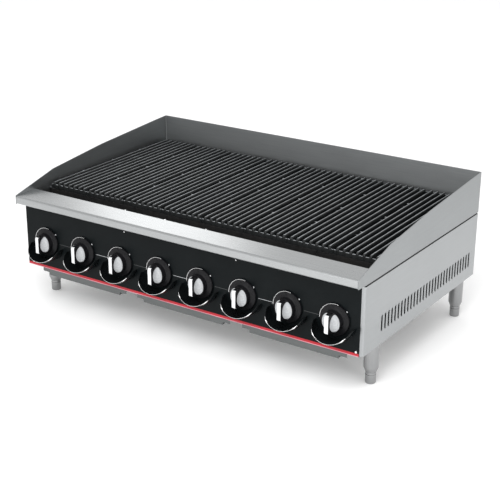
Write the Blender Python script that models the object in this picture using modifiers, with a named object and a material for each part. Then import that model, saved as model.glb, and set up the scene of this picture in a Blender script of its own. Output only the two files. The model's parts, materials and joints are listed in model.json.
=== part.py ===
"""Countertop gas charbroiler with eight burners.

A stainless body on four adjustable legs carries eight burners in a row. Over each burner sit a
cast radiant and a cast grate. Three trays slide out below. All lengths are metres, +Z is up, the
front faces -Y, and the origin is at the middle of the object's footprint, on the floor.
"""

import math

import bmesh
import bpy
from mathutils import Matrix, Vector

# ---------------------------------------------------------------- driving dimensions
WIDTH = 1.219
BODY_DEPTH = 0.725          # control panel face to back panel
GUARD_REACH = 0.056         # how far a knob guard stands out of the control panel
LEG_HEIGHT = 0.120
SEAM_Z = 0.3255             # bottom edge of the splash guard
SPLASH_TOP_Z = 0.456
BURNERS = 8
PITCH = 0.149               # from one burner to the next
KNOB_Z = 0.2094
PANEL_BOTTOM_Z = 0.1165     # the control panel hangs a little below the body

# ---------------------------------------------------------------- sheet metal and clearances
SHEET = 0.002
FOLD = 0.012                # width of the folds at the body's front and back corners
GAP = 0.0003                # between pieces that touch

# ---------------------------------------------------------------- places worked out from those
HALF_W = WIDTH / 2
INNER_W = HALF_W - FOLD - 0.0005        # half the width between those folds
CLEAR_W = HALF_W - SHEET - 0.0005       # half the width between the splash guard's sides
FRONT_Y = -(BODY_DEPTH + GUARD_REACH) / 2 + GUARD_REACH
BACK_Y = FRONT_Y + BODY_DEPTH
SIDE_TOP_Z = SEAM_Z - 0.003
LEFT_SIDE_SETBACK = SHEET + 0.0005      # its front fold lies behind the control panel
BASE_Z = LEG_HEIGHT
BASE_THICKNESS = 0.004

# ---------------------------------------------------------------- front rail
RAIL_REACH = 0.041
RAIL_LIP_Z = 0.3285
RAIL_FRONT_Z = 0.354
RAIL_BACK_Z = 0.357
RAIL_BACK = 0.047           # behind the control panel's face

# ---------------------------------------------------------------- grates
GRATE_FRONT = 0.106         # behind the control panel's face
GRATE_BACK = 0.018          # in front of the body's back
GRATE_FRONT_Z = 0.367
GRATE_BACK_Z = 0.376
GRATE_WIDTH = 0.1478
GRATE_HEIGHT = 0.021
BAR_PITCH = 0.0206
BARS = 7
BAR_WIDTH = 0.0105
RIB_WIDTH = 0.008
GRATE_CELLS = 4             # lengths of open slot between cross ribs

# ---------------------------------------------------------------- firebox
FIREBOX_HALF_W = 0.566
FIREBOX_FRONT = 0.110
FIREBOX_BACK = 0.026
FIREBOX_TOP_Z = 0.3457
GRATE_REST_Z = 0.3545      # top of the raised rest under the grates' back ends
RADIANT_LEDGE_Z = 0.250
SHELF_Z = 0.3445            # top of the splash guard's shelves, just below the grates
BURNER_LEDGE_Z = 0.1926

# ---------------------------------------------------------------- trays
TRAYS = 3
TRAY_PITCH = 0.385
TRAY_FLANGE_W = 0.343
TRAY_PAN_W = 0.290
TRAY_FRONT = 0.0095
TRAY_BACK = 0.045
TRAY_TOP_Z = 0.116
TRAY_LIP_Z = 0.110
TRAY_FLOOR_Z = 0.0925
TRAY_FRONT_LIP_Z = 0.100

# ---------------------------------------------------------------- legs
LEG_INSET = 0.0225
LEG_FRONT = 0.094
LEG_BACK = 0.076
LEG_RADIUS = 0.0215
FOOT_RADIUS = 0.0155
LEG_END_Z = 0.036

# ---------------------------------------------------------------- side louvres
LOUVRES = 30
LOUVRE_PITCH = 0.0198
LOUVRE_START = 0.105        # behind the control panel's face
LOUVRE_WIDTH = 0.0048
LOUVRE_BOTTOM_Z = 0.157
LOUVRE_TOP_Z = 0.207

# ---------------------------------------------------------------- pilots
PILOT_SHIFT = 0.016         # to the right of each burner
PILOT_Z = KNOB_Z + 0.030

STEEL = ((0.62, 0.64, 0.66), 0.32, 1.0)
DARK_STEEL = ((0.30, 0.31, 0.32), 0.45, 1.0)
CAST_IRON = ((0.035, 0.037, 0.040), 0.55, 0.6)
BLACK_GLOSS = ((0.012, 0.014, 0.016), 0.18, 0.0)
BRASS = ((0.60, 0.44, 0.18), 0.35, 1.0)


def clear_scene():
    for item in list(bpy.data.objects):
        bpy.data.objects.remove(item, do_unlink=True)
    for group in list(bpy.data.collections):
        bpy.data.collections.remove(group)


def new_collection(name):
    group = bpy.data.collections.new(name)
    bpy.context.scene.collection.children.link(group)
    return group


clear_scene()
PARTS = new_collection("charbroiler")
CUTTERS = new_collection("cutters")


# ---------------------------------------------------------------- small tools
def material(name, look):
    colour, roughness, metallic = look
    made = bpy.data.materials.get(name) or bpy.data.materials.new(name)
    made.use_nodes = True
    shader = made.node_tree.nodes["Principled BSDF"]
    shader.inputs["Base Color"].default_value = (*colour, 1.0)
    shader.inputs["Roughness"].default_value = roughness
    shader.inputs["Metallic"].default_value = metallic
    return made


def take(name, group):
    """Names the object that an operator has just made and moves it to a collection."""
    made = bpy.context.active_object
    made.name = name
    for old in list(made.users_collection):
        old.objects.unlink(made)
    group.objects.link(made)
    return made


def from_bmesh(name, shape, group=PARTS):
    mesh = bpy.data.meshes.new(name)
    bmesh.ops.recalc_face_normals(shape, faces=shape.faces)
    shape.to_mesh(mesh)
    shape.free()
    made = bpy.data.objects.new(name, mesh)
    group.objects.link(made)
    return made


def box(name, low, high, group=PARTS):
    """A box between two corners, made from a cube primitive."""
    low = Vector(low)
    high = Vector(high)
    bpy.ops.mesh.primitive_cube_add(size=1.0)
    made = take(name, group)
    size = high - low
    made.data.transform(Matrix.Diagonal((*size, 1.0)))
    made.location = (low + high) / 2
    return made


def cylinder(name, centre, radius, length, axis, sides=12, group=PARTS):
    """A cylinder centred on a point, along X, Y or Z."""
    bpy.ops.mesh.primitive_cylinder_add(vertices=sides, radius=radius, depth=length)
    made = take(name, group)
    turns = {
        "X": Matrix.Rotation(math.pi / 2, 4, "Y"),
        "Y": Matrix.Rotation(math.pi / 2, 4, "X"),
        "Z": Matrix.Identity(4),
    }
    made.data.transform(turns[axis])
    made.location = centre
    return made


def sheet(name, outline, along, start, end, thickness=SHEET, closed=False, group=PARTS):
    """Sheet metal bent to an outline and drawn out along X, Y or Z.

    The outline lists the two other coordinates in X, Y, Z order. It is the outer face, and the
    metal lies on its left-hand side.
    """
    order = {"X": (1, 2, 0), "Y": (0, 2, 1), "Z": (0, 1, 2)}[along]

    def point(pair, place):
        values = [0.0, 0.0, 0.0]
        values[order[0]], values[order[1]] = pair
        values[order[2]] = place
        return values

    shape = bmesh.new()
    near = [shape.verts.new(point(pair, start)) for pair in outline]
    far = [shape.verts.new(point(pair, end)) for pair in outline]
    spans = len(outline) if closed else len(outline) - 1
    for index in range(spans):
        after = (index + 1) % len(outline)
        corners = [near[index], near[after], far[after], far[index]]
        if along == "Y":
            corners.reverse()
        shape.faces.new(corners)
    mesh = bpy.data.meshes.new(name)
    shape.to_mesh(mesh)
    shape.free()
    made = bpy.data.objects.new(name, mesh)
    group.objects.link(made)
    solid = made.modifiers.new("metal", "SOLIDIFY")
    solid.thickness = thickness
    solid.offset = -1.0
    solid.use_even_offset = True
    return made


def plate(name, outline, start, end, group=PARTS):
    """A flat outline in Y and Z, extruded along X."""
    shape = bmesh.new()
    corners = [shape.verts.new((start, y, z)) for y, z in outline]
    face = shape.faces.new(corners)
    grown = bmesh.ops.extrude_face_region(shape, geom=[face])
    moved = [item for item in grown["geom"] if isinstance(item, bmesh.types.BMVert)]
    bmesh.ops.translate(shape, verts=moved, vec=(end - start, 0.0, 0.0))
    return from_bmesh(name, shape, group)


def turned(name, profile, place, axis, steps=16, group=PARTS):
    """A solid of revolution. The profile lists (radius, height) from its top down."""
    shape = bmesh.new()
    verts = [shape.verts.new((radius, 0.0, height)) for radius, height in profile]
    for pair in zip(verts, verts[1:]):
        shape.edges.new(pair)
    mesh = bpy.data.meshes.new(name)
    shape.to_mesh(mesh)
    shape.free()
    made = bpy.data.objects.new(name, mesh)
    group.objects.link(made)
    spin = made.modifiers.new("turn", "SCREW")
    spin.steps = steps
    spin.render_steps = steps
    spin.use_merge_vertices = True
    spin.merge_threshold = 0.0001
    made.location = place
    if axis == "-Y":
        made.rotation_euler = (math.pi / 2, 0.0, 0.0)
    elif axis == "+Y":
        made.rotation_euler = (-math.pi / 2, 0.0, 0.0)
    return made


def array(target, count, offset):
    repeat = target.modifiers.new("repeat", "ARRAY")
    repeat.count = count
    repeat.use_relative_offset = False
    repeat.use_constant_offset = True
    repeat.constant_offset_displace = offset
    return target


def combine(target, others, operation="UNION"):
    """Joins or cuts with the EXACT solver, and keeps the other shapes as hidden guides."""
    for other in others:
        cut = target.modifiers.new(other.name, "BOOLEAN")
        cut.operation = operation
        cut.solver = "EXACT"
        cut.object = other
        other.hide_render = True
        other.display_type = "WIRE"
    return target


def finish(target, look_name, look):
    """Gives an object its material and shades its round faces smooth."""
    target.data.materials.clear()
    target.data.materials.append(material(look_name, look))
    target.data.shade_smooth()
    target.data.set_sharp_from_angle(angle=math.radians(30))
    return target


def burner_x(index):
    return (index - (BURNERS - 1) / 2) * PITCH


# ---------------------------------------------------------------- body panels
def side_panel(name, side, front):
    """A side with folded front and back edges and a row of upright louvre slots."""
    fold = HALF_W - 0.0115
    outline = [
        (side * fold, BACK_Y),
        (side * HALF_W, BACK_Y),
        (side * HALF_W, front),
        (side * fold, front),
    ]
    if side > 0:
        outline.reverse()
    panel = sheet(name, outline, "Z", LEG_HEIGHT, SIDE_TOP_Z)
    start = FRONT_Y + LOUVRE_START
    low = (side * HALF_W - 0.006, start, LOUVRE_BOTTOM_Z)
    high = (side * HALF_W + 0.006, start + LOUVRE_WIDTH, LOUVRE_TOP_Z)
    slots = box(name + "_slots", low, high, CUTTERS)
    array(slots, LOUVRES, (0.0, LOUVRE_PITCH, 0.0))
    combine(panel, [slots], "DIFFERENCE")
    return finish(panel, "stainless", STEEL)


def knob_guard(index):
    """A scoop below one knob, lofted from the control panel out to its rounded lip."""
    centre = Vector((burner_x(index), FRONT_Y, KNOB_Z))
    around = 12
    outward = 3
    spread = math.radians(86)
    root_depth = 0.0012
    shape = bmesh.new()
    rows = []
    for row in range(outward + 1):
        part = row / outward
        ring = []
        for column in range(around + 1):
            turn = spread * (2 * column / around - 1)
            root = Vector((0.0605 * math.sin(turn), root_depth, -0.010 - 0.0480 * math.cos(turn)))
            reach = GUARD_REACH * math.sqrt(math.cos(turn))
            lip = Vector((0.0595 * math.sin(turn), -reach, -0.010 - 0.0440 * math.cos(turn)))
            ring.append(shape.verts.new(centre + root.lerp(lip, part)))
        rows.append(ring)
    for near, far in zip(rows, rows[1:]):
        for column in range(around):
            shape.faces.new((near[column], near[column + 1], far[column + 1], far[column]))
    guard = from_bmesh("guard_%d" % (index + 1), shape, CUTTERS)
    solid = guard.modifiers.new("thickness", "SOLIDIFY")
    solid.thickness = 0.003
    solid.offset = 0.0
    return guard


def control_panel():
    """The black front with eight stem holes and a guard below each knob.

    It covers the left side's front fold and stops at the right side's.
    """
    top = RAIL_FRONT_Z - SHEET - 0.0035
    outline = [
        (FRONT_Y + 0.030, top),
        (FRONT_Y, top),
        (FRONT_Y, PANEL_BOTTOM_Z),
        (FRONT_Y + 0.007, PANEL_BOTTOM_Z),
    ]
    panel = sheet("control_panel", outline, "X", -HALF_W + 0.0005, INNER_W)
    low = (-HALF_W - 0.01, FRONT_Y - 0.01, SIDE_TOP_Z)
    notch = box("splash_notch", low, (-CLEAR_W, FRONT_Y + 0.04, top + 0.01), CUTTERS)
    holes = cylinder("stem_holes", (burner_x(0), FRONT_Y, KNOB_Z), 0.0065, 0.02, "Y", 12, CUTTERS)
    array(holes, BURNERS, (PITCH, 0.0, 0.0))
    combine(panel, [knob_guard(index) for index in range(BURNERS)])
    combine(panel, [holes, notch], "DIFFERENCE")
    return finish(panel, "black_enamel", BLACK_GLOSS)


def front_rail():
    """The bullnose ledge along the front, with a rounded front edge."""
    front = FRONT_Y - RAIL_REACH
    round_r = 0.006
    corner = []
    for step in range(4):
        turn = math.pi / 2 * step / 3
        corner.append((front + round_r - round_r * math.cos(turn),
                       RAIL_FRONT_Z - round_r + round_r * math.sin(turn)))
    outline = [(front + 0.016, RAIL_LIP_Z), (front, RAIL_LIP_Z)]
    outline += corner
    outline += [(FRONT_Y + RAIL_BACK, RAIL_BACK_Z), (FRONT_Y + RAIL_BACK, RAIL_BACK_Z - 0.014)]
    outline.reverse()
    rail = sheet("front_rail", outline, "X", -CLEAR_W, CLEAR_W)
    return finish(rail, "stainless", STEEL)


def back_panel():
    half = INNER_W
    outline = [
        (BACK_Y - 0.015, 0.1255),
        (BACK_Y, 0.1255),
        (BACK_Y, SIDE_TOP_Z),
        (BACK_Y - 0.015, SIDE_TOP_Z),
    ]
    panel = sheet("back_panel", outline, "X", -half, half)
    inlet = cylinder("inlet_hole", (PIPE_X, BACK_Y, PIPE_Z), 0.0125, 0.02, "Y", 16, CUTTERS)
    combine(panel, [inlet], "DIFFERENCE")
    return finish(panel, "stainless", STEEL)


def splash_edge():
    """The top edge of a side splash, front to back: a ramp, then two flatter stretches."""
    return [
        (FRONT_Y - RAIL_REACH, 0.356),
        (FRONT_Y + 0.132, 0.402),
        (FRONT_Y + 0.370, 0.430),
        (FRONT_Y + 0.655, 0.4515),
        (BACK_Y, SPLASH_TOP_Z),
    ]


def side_splash(name, side):
    """One side of the splash guard: a plain sheet with a shelf folded in beside the grates."""
    outer = [(FRONT_Y, SEAM_Z), (FRONT_Y - RAIL_REACH, RAIL_LIP_Z)] + splash_edge() + [(BACK_Y, SEAM_Z)]
    splash = plate(name, outer, side * (HALF_W - SHEET), side * HALF_W)
    reach = sorted((side * (FIREBOX_HALF_W + 0.003), side * (HALF_W - SHEET / 2)))
    low = (reach[0], FRONT_Y + FIREBOX_FRONT + 0.002, SHELF_Z - SHEET)
    shelf = box(name + "_shelf", low, (reach[1], BACK_Y - SHEET - 0.001, SHELF_Z), CUTTERS)
    combine(splash, [shelf])
    return finish(splash, "stainless", STEEL)


def back_splash():
    """The back of the splash guard, with a shelf folded in behind the firebox."""
    splash = box("back_splash", (-CLEAR_W, BACK_Y - SHEET, SEAM_Z), (CLEAR_W, BACK_Y, SPLASH_TOP_Z))
    half = FIREBOX_HALF_W + 0.002
    low = (-half, BACK_Y - FIREBOX_BACK + 0.002, SHELF_Z - SHEET)
    shelf = box("back_splash_shelf", low, (half, BACK_Y - SHEET / 2, SHELF_Z), CUTTERS)
    combine(splash, [shelf])
    return finish(splash, "stainless", STEEL)


# ---------------------------------------------------------------- frame and firebox
def base_frame():
    """The bottom plate with three tray bays, and a T-shaped runner on each side of a tray."""
    front = FRONT_Y + LEFT_SIDE_SETBACK + SHEET + 0.0005
    back = BACK_Y - SHEET - 0.0005
    half = HALF_W - SHEET - 0.0005
    frame = box("base_frame", (-half, front, BASE_Z), (half, back, BASE_Z + BASE_THICKNESS))
    bay_w = TRAY_PAN_W - 0.020
    low = (-TRAY_PITCH - bay_w / 2, FRONT_Y + 0.125, BASE_Z - 0.01)
    high = (-TRAY_PITCH + bay_w / 2, BACK_Y - 0.075, BASE_Z + 0.01)
    bays = box("tray_bays", low, high, CUTTERS)
    array(bays, TRAYS, (TRAY_PITCH, 0.0, 0.0))
    combine(frame, [bays], "DIFFERENCE")

    runner_top = TRAY_LIP_Z - GAP
    runner_front = FRONT_Y + 0.045
    runner_back = BACK_Y - 0.030
    runners = []
    for index in range(TRAYS + 1):
        middle = (index - TRAYS / 2) * TRAY_PITCH
        if index == 0:
            web = middle + 0.016
            reach = (web - 0.001, web + 0.016)
        elif index == TRAYS:
            web = middle - 0.016
            reach = (web - 0.016, web + 0.001)
        else:
            web = middle
            reach = (web - 0.032, web + 0.032)
        runners.append(box("runner_lip_%d" % index, (reach[0], runner_front, runner_top - SHEET),
                           (reach[1], runner_back, runner_top), CUTTERS))
        runners.append(box("runner_web_%d" % index, (web - 0.001, runner_front, runner_top - 0.001),
                           (web + 0.001, runner_back, BASE_Z + 0.002), CUTTERS))
    combine(frame, runners)
    return finish(frame, "dark_steel", DARK_STEEL)


def firebox():
    """The steel liner round the burners, with ledges for the radiants, burners and grates."""
    front = FRONT_Y + FIREBOX_FRONT
    back = BACK_Y - FIREBOX_BACK
    half = FIREBOX_HALF_W
    outline = [(-half, front), (-half, back), (half, back), (half, front)]
    outline.reverse()
    bottom = BASE_Z + BASE_THICKNESS + GAP
    liner = sheet("firebox", outline, "Z", bottom, FIREBOX_TOP_Z, closed=True)
    ledge = 0.022
    inset = half - 0.001
    lift = 0.001
    rests = [
        box("radiant_ledge_front", (-inset, front + lift, RADIANT_LEDGE_Z - SHEET),
            (inset, front + ledge, RADIANT_LEDGE_Z), CUTTERS),
        box("radiant_ledge_back", (-inset, back - ledge, RADIANT_LEDGE_Z - SHEET),
            (inset, back - lift, RADIANT_LEDGE_Z), CUTTERS),
        box("burner_ledge_back", (-inset, back - ledge, BURNER_LEDGE_Z - SHEET),
            (inset, back - lift, BURNER_LEDGE_Z), CUTTERS),
        box("grate_rest_back", (-inset, back - SHEET, FIREBOX_TOP_Z - 0.004), (inset, back, GRATE_REST_Z),
            CUTTERS),
    ]
    combine(liner, rests)
    doors = cylinder("burner_holes", (burner_x(0), front, KNOB_Z), 0.0185, 0.02, "Y", 16, CUTTERS)
    array(doors, BURNERS, (PITCH, 0.0, 0.0))
    first = (burner_x(0) + PILOT_SHIFT, front, PILOT_Z)
    ports = cylinder("pilot_holes", first, 0.004, 0.02, "Y", 8, CUTTERS)
    array(ports, BURNERS, (PITCH, 0.0, 0.0))
    combine(liner, [doors, ports], "DIFFERENCE")
    return finish(liner, "dark_steel", DARK_STEEL)


def grease_trough():
    """The gutter between the front rail and the grates, closed at both ends."""
    front = FRONT_Y + RAIL_BACK + SHEET + 0.001
    back = FRONT_Y + FIREBOX_FRONT - 0.001
    outline = [(front, 0.338), (front, 0.310), (back, 0.310), (back, 0.3435)]
    trough = sheet("grease_trough", outline, "X", -INNER_W, INNER_W)
    lap = 0.001
    ends = []
    for side in (-1, 1):
        near, far = sorted((side * (INNER_W - SHEET - lap / 2), side * (INNER_W - lap / 2)))
        ends.append(box("trough_end_%d" % (side + 2), (near, front + lap, 0.311),
                        (far, back - lap, 0.337), CUTTERS))
    combine(trough, ends)
    return finish(trough, "dark_steel", DARK_STEEL)


# ---------------------------------------------------------------- cooking parts
def grate(index):
    """A cast grate: seven bars front to back, tied by end bars and three cross ribs."""
    front = FRONT_Y + GRATE_FRONT
    length = BACK_Y - GRATE_BACK - front
    rise = math.atan2(GRATE_BACK_Z - GRATE_FRONT_Z, length)
    name = "grate_%d" % (index + 1)
    slab = box(name, (-GRATE_WIDTH / 2, 0.0, -GRATE_HEIGHT), (GRATE_WIDTH / 2, length, 0.0))
    slab.data.transform(Matrix.Translation(slab.location))
    slab.location = (burner_x(index), front, GRATE_FRONT_Z)
    slab.rotation_euler = (rise, 0.0, 0.0)

    slot_w = BAR_PITCH - BAR_WIDTH
    end_bar = 0.008
    cell = (length - 2 * end_bar + RIB_WIDTH) / GRATE_CELLS
    first_x = -(BARS - 2) / 2 * BAR_PITCH
    slots = box(name + "_slots", (first_x - slot_w / 2, end_bar, -GRATE_HEIGHT - 0.01),
                (first_x + slot_w / 2, end_bar + cell - RIB_WIDTH, 0.01), CUTTERS)
    slots.data.transform(Matrix.Translation(slots.location))
    slots.location = slab.location
    slots.rotation_euler = slab.rotation_euler
    array(slots, BARS - 1, (BAR_PITCH, 0.0, 0.0))
    array(slots, GRATE_CELLS, (0.0, cell, 0.0))
    combine(slab, [slots], "DIFFERENCE")
    return finish(slab, "cast_iron", CAST_IRON)


def radiant(index):
    """A cast roof over one burner, with slots that let the heat through."""
    half = 0.042
    flat = 0.012
    rise = 0.040
    metal = 0.004
    x = burner_x(index)
    foot_z = RADIANT_LEDGE_Z + GAP + metal * (half - flat) / math.hypot(half - flat, rise)
    apex_z = foot_z + rise
    outline = [(x + half, foot_z), (x + flat, apex_z), (x - flat, apex_z), (x - half, foot_z)]
    start = FRONT_Y + FIREBOX_FRONT + 0.006
    end = BACK_Y - FIREBOX_BACK - 0.006
    roof = sheet("radiant_%d" % (index + 1), outline, "Y", start, end, metal)
    count = 6
    pitch = (end - start) / count
    middle = start + pitch / 2
    slots = box("radiant_%d_slots" % (index + 1), (x - half, middle - 0.006, foot_z + 0.010),
                (x + half, middle + 0.006, apex_z + 0.02), CUTTERS)
    array(slots, count, (0.0, pitch, 0.0))
    combine(roof, [slots], "DIFFERENCE")
    return finish(roof, "cast_iron", CAST_IRON)


def burner(index):
    """A straight cast burner: a bell mouth, a narrow throat and a long closed tube."""
    mouth = FRONT_Y + 0.062
    end = BACK_Y - FIREBOX_BACK - 0.004
    length = end - mouth
    profile = [
        (0.0, length), (0.0165, length), (0.0165, 0.085), (0.0120, 0.045),
        (0.0175, 0.0), (0.0140, 0.0), (0.0, 0.030),
    ]
    tube = turned("burner_%d" % (index + 1), profile, (burner_x(index), mouth, KNOB_Z), "+Y", 12)
    return finish(tube, "cast_iron", CAST_IRON)


# ---------------------------------------------------------------- gas line
PIPE_X = 0.5795
PIPE_Z = 0.165
PIPE_Y = FRONT_Y + 0.036
MANIFOLD_RADIUS = 0.0135
MANIFOLD_END_X = 0.550


def gas_manifold():
    """The supply pipe with a valve for each burner: a block, a stem bore and an orifice."""
    pipe = cylinder("gas_manifold", (0.0, PIPE_Y, PIPE_Z), MANIFOLD_RADIUS, 2 * MANIFOLD_END_X, "X")
    front = FRONT_Y + 0.018
    back = FRONT_Y + 0.052
    x = burner_x(0)
    shift = (PITCH, 0.0, 0.0)
    blocks = box("valve_blocks", (x - 0.013, front, PIPE_Z - 0.004), (x + 0.013, back, KNOB_Z + 0.015),
                 CUTTERS)
    array(blocks, BURNERS, shift)
    jets = cylinder("orifices", (x, back + 0.006, KNOB_Z), 0.006, 0.014, "Y", 8, CUTTERS)
    array(jets, BURNERS, shift)
    bores = cylinder("stem_bores", (x, front + 0.008, KNOB_Z), 0.0046, 0.03, "Y", 12, CUTTERS)
    array(bores, BURNERS, shift)
    combine(pipe, [blocks, jets])
    combine(pipe, [bores], "DIFFERENCE")
    return finish(pipe, "brass", BRASS)


def gas_inlet_pipe():
    """The pipe from the back panel along the right side to the manifold's end."""
    bend = 0.019
    points = [Vector((MANIFOLD_END_X + GAP, PIPE_Y, PIPE_Z))]
    for step in range(5):
        turn = math.pi / 2 * step / 4
        points.append(Vector((PIPE_X - bend + bend * math.sin(turn),
                              PIPE_Y + bend - bend * math.cos(turn), PIPE_Z)))
    points.append(Vector((PIPE_X, BACK_Y - 0.0005, PIPE_Z)))
    line = bpy.data.curves.new("gas_inlet_pipe", "CURVE")
    line.dimensions = "3D"
    line.bevel_depth = 0.0105
    line.bevel_resolution = 2
    line.use_fill_caps = True
    route = line.splines.new("POLY")
    route.points.add(len(points) - 1)
    for slot, place in zip(route.points, points):
        slot.co = (*place, 1.0)
    made = bpy.data.objects.new("gas_inlet_pipe", line)
    PARTS.objects.link(made)
    line.materials.append(material("dark_steel", DARK_STEEL))
    return made


def pilot_tube():
    """A thin tube along the firebox, with a pilot jet through its wall at each burner."""
    radius = 0.003
    y = FRONT_Y + FIREBOX_FRONT - radius - GAP
    tube = cylinder("pilot_tube", (0.0, y, PILOT_Z), radius, 2 * 0.545, "X", 8)
    first = (burner_x(0) + PILOT_SHIFT, y + 0.010, PILOT_Z)
    jets = cylinder("pilot_jets", first, 0.0026, 0.020, "Y", 8, CUTTERS)
    array(jets, BURNERS, (PITCH, 0.0, 0.0))
    combine(tube, [jets])
    return finish(tube, "brass", BRASS)


# ---------------------------------------------------------------- controls
KNOB_SKIRT_R = 0.0455
KNOB_HUB_R = 0.029
KNOB_FRONT = 0.050
STEM_RADIUS = 0.0042


def knob(index):
    """A black skirt, a round hub and a bar grip, on the valve's stem. Its axis points to -Y."""
    profile = [
        (0.0, 0.026), (KNOB_HUB_R - 0.002, 0.026), (KNOB_HUB_R, 0.024), (KNOB_HUB_R, 0.008),
        (KNOB_SKIRT_R - 0.002, 0.007), (KNOB_SKIRT_R, 0.005), (KNOB_SKIRT_R, 0.0012),
        (STEM_RADIUS, 0.0012), (STEM_RADIUS, -0.030), (0.0, -0.030),
    ]
    place = (burner_x(index), FRONT_Y, KNOB_Z)
    name = "knob_%d" % (index + 1)
    body = turned(name, profile, place, "-Y", 20)
    bar_half_w = 0.0062
    bar_half_l = 0.0245
    low = (-bar_half_w, -bar_half_l, 0.020)
    bar = box(name + "_bar", low, (bar_half_w, bar_half_l, KNOB_FRONT), CUTTERS)
    bar.data.transform(Matrix.Translation(bar.location))
    bar.location = place
    bar.rotation_euler = (math.pi / 2, 0.0, 0.0)
    edge = bar.modifiers.new("edge", "BEVEL")
    edge.width = 0.002
    edge.segments = 1
    combine(body, [bar])
    return finish(body, "knob_black", BLACK_GLOSS)


# ---------------------------------------------------------------- trays and legs
def drip_tray(index):
    """A pan with folded side flanges that rest on the runners, and a closed front and back."""
    x = (index - (TRAYS - 1) / 2) * TRAY_PITCH
    metal = 0.0015
    start = FRONT_Y + TRAY_FRONT
    end = BACK_Y - TRAY_BACK
    flange = TRAY_FLANGE_W / 2
    pan = TRAY_PAN_W / 2
    outside = pan + metal
    under = TRAY_FLOOR_Z - metal
    outline = [
        (x - flange, TRAY_LIP_Z), (x - flange, TRAY_TOP_Z), (x - pan, TRAY_TOP_Z), (x - pan, TRAY_FLOOR_Z),
        (x + pan, TRAY_FLOOR_Z), (x + pan, TRAY_TOP_Z), (x + flange, TRAY_TOP_Z), (x + flange, TRAY_LIP_Z),
    ]
    outline.reverse()
    tray = sheet("drip_tray_%d" % (index + 1), outline, "Y", start, end, metal)
    name = "tray_%d_" % (index + 1)
    front = (start - 0.0012, start + metal)
    back = (end - metal, end + 0.0012)
    walls = (
        ("front_lip", flange, front, TRAY_FRONT_LIP_Z),
        ("front_wall", outside, front, under),
        ("back_wall", outside, back, under),
    )
    ends = []
    for label, half, (near, far), low in walls:
        ends.append(box(name + label, (x - half, near, low), (x + half, far, TRAY_TOP_Z), CUTTERS))
    combine(tray, ends)
    return finish(tray, "stainless", STEEL)


def leg_place(column, row):
    x = (2 * column - 1) * (HALF_W - LEG_INSET)
    y = FRONT_Y + LEG_FRONT if row == 0 else BACK_Y - LEG_BACK
    return x, y


def leg(name, x, y):
    """A round leg that narrows at its foot, bored from below for the foot's thread."""
    top = LEG_HEIGHT - GAP
    profile = [
        (0.0, top), (LEG_RADIUS, top), (LEG_RADIUS, LEG_END_Z + 0.008), (FOOT_RADIUS + 0.001, LEG_END_Z),
        (0.0062, LEG_END_Z), (0.0062, 0.100), (0.0, 0.100),
    ]
    made = turned(name, profile, (x, y, 0.0), "+Z", 16)
    return finish(made, "stainless", STEEL)


def foot(name, x, y):
    """A foot pad with the stud that screws into its leg."""
    pad_top = LEG_END_Z - GAP
    profile = [
        (0.0, 0.092), (0.0058, 0.092), (0.0058, pad_top), (FOOT_RADIUS, pad_top),
        (FOOT_RADIUS, 0.002), (FOOT_RADIUS - 0.002, 0.0), (0.0, 0.0),
    ]
    made = turned(name, profile, (x, y, 0.0), "+Z", 16)
    return finish(made, "stainless", STEEL)


def build():
    side_panel("left_side_panel", -1, FRONT_Y + LEFT_SIDE_SETBACK)
    side_panel("right_side_panel", 1, FRONT_Y)
    back_panel()
    control_panel()
    front_rail()
    side_splash("left_splash", -1)
    side_splash("right_splash", 1)
    back_splash()
    base_frame()
    firebox()
    grease_trough()
    gas_manifold()
    gas_inlet_pipe()
    pilot_tube()
    for index in range(BURNERS):
        grate(index)
        radiant(index)
        burner(index)
        knob(index)
    for index in range(TRAYS):
        drip_tray(index)
    for row, depth in enumerate(("front", "rear")):
        for column, side in enumerate(("left", "right")):
            x, y = leg_place(column, row)
            leg("%s_%s_leg" % (depth, side), x, y)
            foot("%s_%s_foot" % (depth, side), x, y)


build()
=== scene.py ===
"""Detailed pieces, materials, light and camera for the countertop gas charbroiler.

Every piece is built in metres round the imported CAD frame: +Z is up and the front faces -Y.
"""
import json
import math

import bmesh
import bpy
from mathutils import Matrix, Vector


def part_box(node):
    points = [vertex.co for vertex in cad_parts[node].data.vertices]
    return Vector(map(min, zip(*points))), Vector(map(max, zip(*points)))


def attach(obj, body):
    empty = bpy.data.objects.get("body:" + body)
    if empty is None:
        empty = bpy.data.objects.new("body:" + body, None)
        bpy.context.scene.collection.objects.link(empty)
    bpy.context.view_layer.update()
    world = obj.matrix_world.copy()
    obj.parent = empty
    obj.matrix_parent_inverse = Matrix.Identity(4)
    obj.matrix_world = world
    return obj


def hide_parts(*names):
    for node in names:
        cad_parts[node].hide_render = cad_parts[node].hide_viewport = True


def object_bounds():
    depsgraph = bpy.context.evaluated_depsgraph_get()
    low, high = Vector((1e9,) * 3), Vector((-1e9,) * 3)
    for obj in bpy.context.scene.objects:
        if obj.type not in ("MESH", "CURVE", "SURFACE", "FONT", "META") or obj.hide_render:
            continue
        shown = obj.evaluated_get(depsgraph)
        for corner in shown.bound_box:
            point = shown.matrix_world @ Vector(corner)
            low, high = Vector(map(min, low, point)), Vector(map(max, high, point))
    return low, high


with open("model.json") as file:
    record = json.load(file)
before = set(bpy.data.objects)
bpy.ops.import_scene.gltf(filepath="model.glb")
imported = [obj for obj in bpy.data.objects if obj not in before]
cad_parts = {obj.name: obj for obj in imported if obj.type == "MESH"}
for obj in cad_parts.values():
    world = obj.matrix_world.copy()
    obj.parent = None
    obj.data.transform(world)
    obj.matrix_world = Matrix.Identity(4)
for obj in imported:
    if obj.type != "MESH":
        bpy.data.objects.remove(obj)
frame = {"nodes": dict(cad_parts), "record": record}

cad_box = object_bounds()
ROOT = "cabinet"

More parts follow.
